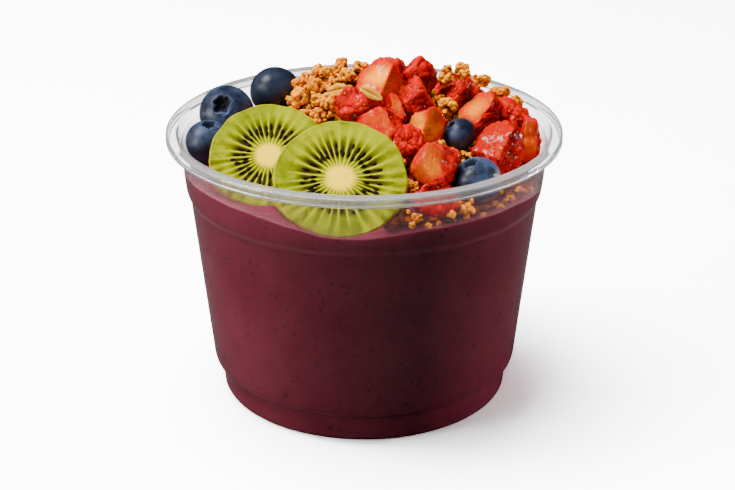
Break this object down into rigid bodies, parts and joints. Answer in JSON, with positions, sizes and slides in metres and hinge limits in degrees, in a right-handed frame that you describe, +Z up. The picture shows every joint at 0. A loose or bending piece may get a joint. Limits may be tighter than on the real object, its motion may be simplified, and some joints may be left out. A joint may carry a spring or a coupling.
{
  "type": "acai bowl",
  "caption": "Clear plastic cup of dark acai puree with a rolled lip and stepped foot, topped with sliced kiwi, blueberries, diced strawberry and granola.",
  "frame": {"origin": "centre of the cup's base, on the surface it stands on", "axes": "+Z up along the cup's axis; the kiwi slices lean towards -Y, the front; +X to the right seen from the front"},
  "size_m": [0.117, 0.117, 0.1025],
  "materials": {
    "clear_plastic": "thin clear plastic, glossy with soft haze",
    "acai_puree": "smooth thick fruit puree, dark wine red, satin",
    "granola": "toasted oat crumb, rough",
    "kiwi": "moist green fruit flesh with pale core and dark seeds",
    "blueberry": "dark blue skin with a waxy bloom",
    "strawberry": "wet red fruit with orange cut faces"
  },
  "bodies": {
    "root": {"cup": "clear_plastic", "acai_puree": "acai_puree", "granola_bed": "granola", "kiwi_slice_front": "kiwi", "kiwi_slice_back": "kiwi", "blueberry_back": "blueberry", "blueberry_left": "blueberry", "blueberry_front_left": "blueberry", "blueberry_small": "blueberry", "blueberry_front_right": "blueberry", "strawberry_01": "strawberry", "strawberry_02": "strawberry", "strawberry_03": "strawberry", "strawberry_04": "strawberry", "strawberry_05": "strawberry", "strawberry_06": "strawberry", "strawberry_07": "strawberry", "strawberry_08": "strawberry", "strawberry_09": "strawberry", "strawberry_10": "strawberry", "strawberry_11": "strawberry", "strawberry_12": "strawberry", "strawberry_13": "strawberry", "strawberry_14": "strawberry", "strawberry_15": "strawberry", "strawberry_16": "strawberry", "strawberry_17": "strawberry", "strawberry_18": "strawberry", "strawberry_19": "strawberry", "strawberry_20": "strawberry", "strawberry_21": "strawberry", "strawberry_22": "strawberry", "granola_cluster_1": "granola", "granola_cluster_2": "granola", "granola_cluster_3": "granola", "granola_cluster_4": "granola", "granola_cluster_5": "granola", "granola_cluster_6": "granola"}
  },
  "joints": []
}
